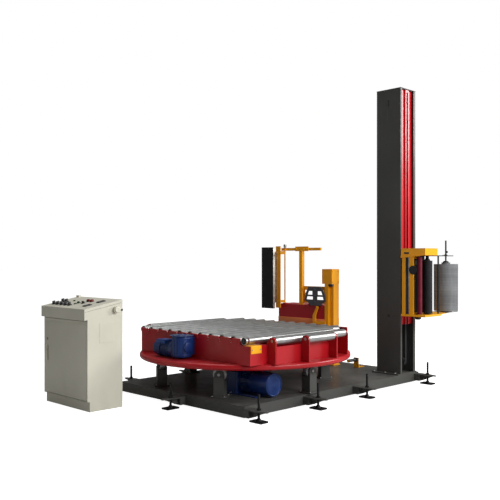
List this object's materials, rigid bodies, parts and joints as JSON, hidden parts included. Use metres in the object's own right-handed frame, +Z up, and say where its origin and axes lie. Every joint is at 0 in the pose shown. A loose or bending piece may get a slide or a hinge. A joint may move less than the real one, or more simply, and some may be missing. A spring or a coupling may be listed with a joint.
{
  "type": "turntable pallet wrapper",
  "caption": "Turntable pallet stretch wrapper: roller conveyor on a driven disc, mast with a film carriage, clamp and wiper unit, and a separate control console.",
  "frame": {"origin": "the turntable's axis at floor level", "axes": "+Z up, +X from the turntable to the mast, +Y along the conveyor, away from its stepped front end"},
  "size_m": [3.646, 2.17, 2.965],
  "materials": {
    "red_paint": "gloss",
    "yellow_paint": "semi-gloss",
    "blue_paint": "semi-gloss",
    "zinc_steel": "satin",
    "dark_grey_paint": "semi-gloss",
    "black_paint": "semi-gloss",
    "black_steel": "satin",
    "cast_gear": "satin",
    "wheel_tread": "satin",
    "film": "glossy",
    "rubber": "matte",
    "red_rubber": "matte",
    "console_body": "satin",
    "knob_cream": "satin",
    "knob_green": "gloss",
    "knob_red": "gloss",
    "knob_black": "satin"
  },
  "bodies": {
    "base": {"base_plate": "dark_grey_paint", "base_frame": "dark_grey_paint", "levelling_feet": "black_steel", "support_posts": "dark_grey_paint", "slew_pedestal": "dark_grey_paint", "drive_motor": "blue_paint", "drive_gearbox": "blue_paint", "mast_column": "dark_grey_paint", "mast_guide": "red_paint", "clamp_housing": "red_paint", "clamp_frame": "yellow_paint", "home_sensor": "yellow_paint", "console_cabinet": "console_body", "control_panel": "console_body"},
    "turntable": {"turntable_disc": "red_paint", "slew_ring": "cast_gear", "side_wall_left": "red_paint", "side_wall_right": "red_paint", "front_beam": "red_paint", "rear_beam": "red_paint", "conveyor_gearbox": "blue_paint", "conveyor_motor": "blue_paint"},
    "carriage": {"carriage_head": "yellow_paint", "carriage_floor": "yellow_paint", "carriage_posts": "yellow_paint", "stretch_drive": "black_paint", "film_spindle": "black_paint"},
    "pinion": {"drive_pinion": "cast_gear"},
    "stretch_roller": {"stretch_roller": "rubber"},
    "idler_roller": {"idler_roller": "rubber"},
    "dancer": {"dancer_roller": "red_rubber"},
    "film_roll": {"film_roll": "film"},
    "wiper": {"wiper_arm": "yellow_paint", "wiper_pad": "rubber"},
    "gripper": {"gripper": "dark_grey_paint"},
    "lever": {"cutter_lever": "yellow_paint"},
    "door": {"console_door": "console_body"},
    "emergency_knob": {"emergency_knob": "knob_cream"},
    "start_button": {"start_button": "knob_green"},
    "selector": {"selector_switch": "knob_black"},
    "wheel_1": {"support_wheel_1": "wheel_tread"},
    "wheel_2": {"support_wheel_2": "wheel_tread"},
    "wheel_3": {"support_wheel_3": "wheel_tread"},
    "wheel_4": {"support_wheel_4": "wheel_tread"},
    "wheel_5": {"support_wheel_5": "wheel_tread"},
    "wheel_6": {"support_wheel_6": "wheel_tread"},
    "roller_1": {"roller_1": "zinc_steel"},
    "roller_2": {"roller_2": "zinc_steel"},
    "roller_3": {"roller_3": "zinc_steel"},
    "roller_4": {"roller_4": "zinc_steel"},
    "roller_5": {"roller_5": "zinc_steel"},
    "roller_6": {"roller_6": "zinc_steel"},
    "roller_7": {"roller_7": "zinc_steel"},
    "roller_8": {"roller_8": "zinc_steel"},
    "roller_9": {"roller_9": "zinc_steel"},
    "front_end_roller": {"front_end_roller": "zinc_steel"},
    "front_stub_roller": {"front_stub_roller": "zinc_steel"},
    "nose_roller": {"nose_roller": "zinc_steel"},
    "rear_end_roller": {"rear_end_roller": "zinc_steel"},
    "rear_stub_roller": {"rear_stub_roller": "zinc_steel"}
  },
  "joints": [
    {"name": "turntable_spin", "type": "hinge", "parent": "base", "child": "turntable", "pos_m": [0, 0, 0.33], "axis": [0, 0, 1], "continuous": true},
    {"name": "wheel_1_spin", "type": "hinge", "parent": "base", "child": "wheel_1", "pos_m": [0.68416, 0.395, 0.295], "axis": [0.866, 0.5, 0], "continuous": true},
    {"name": "wheel_2_spin", "type": "hinge", "parent": "base", "child": "wheel_2", "pos_m": [0, 0.79, 0.295], "axis": [0, 1, 0], "continuous": true},
    {"name": "wheel_3_spin", "type": "hinge", "parent": "base", "child": "wheel_3", "pos_m": [-0.68416, 0.395, 0.295], "axis": [-0.866, 0.5, 0], "continuous": true},
    {"name": "wheel_4_spin", "type": "hinge", "parent": "base", "child": "wheel_4", "pos_m": [-0.68416, -0.395, 0.295], "axis": [-0.866, -0.5, 0], "continuous": true},
    {"name": "wheel_5_spin", "type": "hinge", "parent": "base", "child": "wheel_5", "pos_m": [0, -0.79, 0.295], "axis": [0, -1, 0], "continuous": true},
    {"name": "wheel_6_spin", "type": "hinge", "parent": "base", "child": "wheel_6", "pos_m": [0.68416, -0.395, 0.295], "axis": [0.866, -0.5, 0], "continuous": true},
    {"name": "pinion_spin", "type": "hinge", "parent": "base", "child": "pinion", "pos_m": [-0.395, -0.27272, 0.31], "axis": [0, 0, 1], "continuous": true},
    {"name": "roller_1_spin", "type": "hinge", "parent": "turntable", "child": "roller_1", "pos_m": [0, -0.552, 0.586], "axis": [1, 0, 0], "continuous": true},
    {"name": "roller_2_spin", "type": "hinge", "parent": "turntable", "child": "roller_2", "pos_m": [0, -0.414, 0.586], "axis": [1, 0, 0], "continuous": true},
    {"name": "roller_3_spin", "type": "hinge", "parent": "turntable", "child": "roller_3", "pos_m": [0, -0.276, 0.586], "axis": [1, 0, 0], "continuous": true},
    {"name": "roller_4_spin", "type": "hinge", "parent": "turntable", "child": "roller_4", "pos_m": [0, -0.138, 0.586], "axis": [1, 0, 0], "continuous": true},
    {"name": "roller_5_spin", "type": "hinge", "parent": "turntable", "child": "roller_5", "pos_m": [0, 0, 0.586], "axis": [1, 0, 0], "continuous": true},
    {"name": "roller_6_spin", "type": "hinge", "parent": "turntable", "child": "roller_6", "pos_m": [0, 0.138, 0.586], "axis": [1, 0, 0], "continuous": true},
    {"name": "roller_7_spin", "type": "hinge", "parent": "turntable", "child": "roller_7", "pos_m": [0, 0.276, 0.586], "axis": [1, 0, 0], "continuous": true},
    {"name": "roller_8_spin", "type": "hinge", "parent": "turntable", "child": "roller_8", "pos_m": [0, 0.414, 0.586], "axis": [1, 0, 0], "continuous": true},
    {"name": "roller_9_spin", "type": "hinge", "parent": "turntable", "child": "roller_9", "pos_m": [0, 0.552, 0.586], "axis": [1, 0, 0], "continuous": true},
    {"name": "front_end_roller_spin", "type": "hinge", "parent": "turntable", "child": "front_end_roller", "pos_m": [0, -0.7, 0.597], "axis": [1, 0, 0], "continuous": true},
    {"name": "front_stub_roller_spin", "type": "hinge", "parent": "turntable", "child": "front_stub_roller", "pos_m": [0, -0.828, 0.592], "axis": [1, 0, 0], "continuous": true},
    {"name": "nose_roller_spin", "type": "hinge", "parent": "turntable", "child": "nose_roller", "pos_m": [0, -0.916, 0.592], "axis": [1, 0, 0], "continuous": true},
    {"name": "rear_end_roller_spin", "type": "hinge", "parent": "turntable", "child": "rear_end_roller", "pos_m": [0, 0.7, 0.597], "axis": [1, 0, 0], "continuous": true},
    {"name": "rear_stub_roller_spin", "type": "hinge", "parent": "turntable", "child": "rear_stub_roller", "pos_m": [0, 0.828, 0.592], "axis": [1, 0, 0], "continuous": true},
    {"name": "carriage_lift", "type": "slide", "parent": "base", "child": "carriage", "axis": [0, 0, 1], "range_m": [-0.09, 1.5]},
    {"name": "stretch_spin", "type": "hinge", "parent": "carriage", "child": "stretch_roller", "pos_m": [1.48, -1.06, 1], "axis": [0, 0, 1], "continuous": true},
    {"name": "idler_spin", "type": "hinge", "parent": "carriage", "child": "idler_roller", "pos_m": [1.552, -1, 1], "axis": [0, 0, 1], "continuous": true},
    {"name": "film_roll_spin", "type": "hinge", "parent": "carriage", "child": "film_roll", "pos_m": [1.95, -0.985, 1], "axis": [0, 0, 1], "continuous": true},
    {"name": "dancer_swing", "type": "hinge", "parent": "carriage", "child": "dancer", "pos_m": [1.385, -1, 1], "axis": [0, 0, 1], "range_deg": [0, 25], "stiffness_Nm_per_rad": 4},
    {"name": "wiper_swing", "type": "hinge", "parent": "base", "child": "wiper", "pos_m": [1.344, 0.715, 1], "axis": [0, 0, 1], "range_deg": [0, 75]},
    {"name": "gripper_tilt", "type": "hinge", "parent": "base", "child": "gripper", "pos_m": [1.332, 0.258, 0.751], "axis": [0, 1, 0], "range_deg": [-70, 0]},
    {"name": "lever_swing", "type": "hinge", "parent": "base", "child": "lever", "pos_m": [1.329, 0.223, 0.727], "axis": [1, 0, 0], "range_deg": [0, 50]},
    {"name": "door_hinge", "type": "hinge", "parent": "base", "child": "door", "pos_m": [-1.5425, 0.2825, 0.4], "axis": [0, 0, 1], "range_deg": [0, 110]},
    {"name": "emergency_press", "type": "slide", "parent": "base", "child": "emergency_knob", "axis": [0, 1, 0], "range_m": [0, 0.006], "stiffness_N_per_m": 800},
    {"name": "start_press", "type": "slide", "parent": "base", "child": "start_button", "axis": [0.1789, 0, -0.9839], "range_m": [0, 0.004], "stiffness_N_per_m": 600},
    {"name": "selector_turn", "type": "hinge", "parent": "base", "child": "selector", "pos_m": [-1.405, 0.562, 0.87873], "axis": [-0.1789, 0, 0.9839], "range_deg": [-45, 45]}
  ],
  "couplings": [
    {"joint": "wheel_1_spin", "follows": "turntable_spin", "ratio": -13.277},
    {"joint": "wheel_2_spin", "follows": "turntable_spin", "ratio": -13.277},
    {"joint": "wheel_3_spin", "follows": "turntable_spin", "ratio": -13.277},
    {"joint": "wheel_4_spin", "follows": "turntable_spin", "ratio": -13.277},
    {"joint": "wheel_5_spin", "follows": "turntable_spin", "ratio": -13.277},
    {"joint": "wheel_6_spin", "follows": "turntable_spin", "ratio": -13.277},
    {"joint": "pinion_spin", "follows": "turntable_spin", "ratio": -5},
    {"joint": "roller_1_spin", "follows": "roller_5_spin", "ratio": 1},
    {"joint": "roller_2_spin", "follows": "roller_5_spin", "ratio": 1},
    {"joint": "roller_3_spin", "follows": "roller_5_spin", "ratio": 1},
    {"joint": "roller_4_spin", "follows": "roller_5_spin", "ratio": 1},
    {"joint": "roller_6_spin", "follows": "roller_5_spin", "ratio": 1},
    {"joint": "roller_7_spin", "follows": "roller_5_spin", "ratio": 1},
    {"joint": "roller_8_spin", "follows": "roller_5_spin", "ratio": 1},
    {"joint": "roller_9_spin", "follows": "roller_5_spin", "ratio": 1},
    {"joint": "front_end_roller_spin", "follows": "roller_5_spin", "ratio": 1.3548},
    {"joint": "front_stub_roller_spin", "follows": "roller_5_spin", "ratio": 1.1667},
    {"joint": "nose_roller_spin", "follows": "roller_5_spin", "ratio": 1.1667},
    {"joint": "rear_end_roller_spin", "follows": "roller_5_spin", "ratio": 1.3548},
    {"joint": "rear_stub_roller_spin", "follows": "roller_5_spin", "ratio": 1.1667},
    {"joint": "idler_spin", "follows": "stretch_spin", "ratio": -0.4}
  ]
}
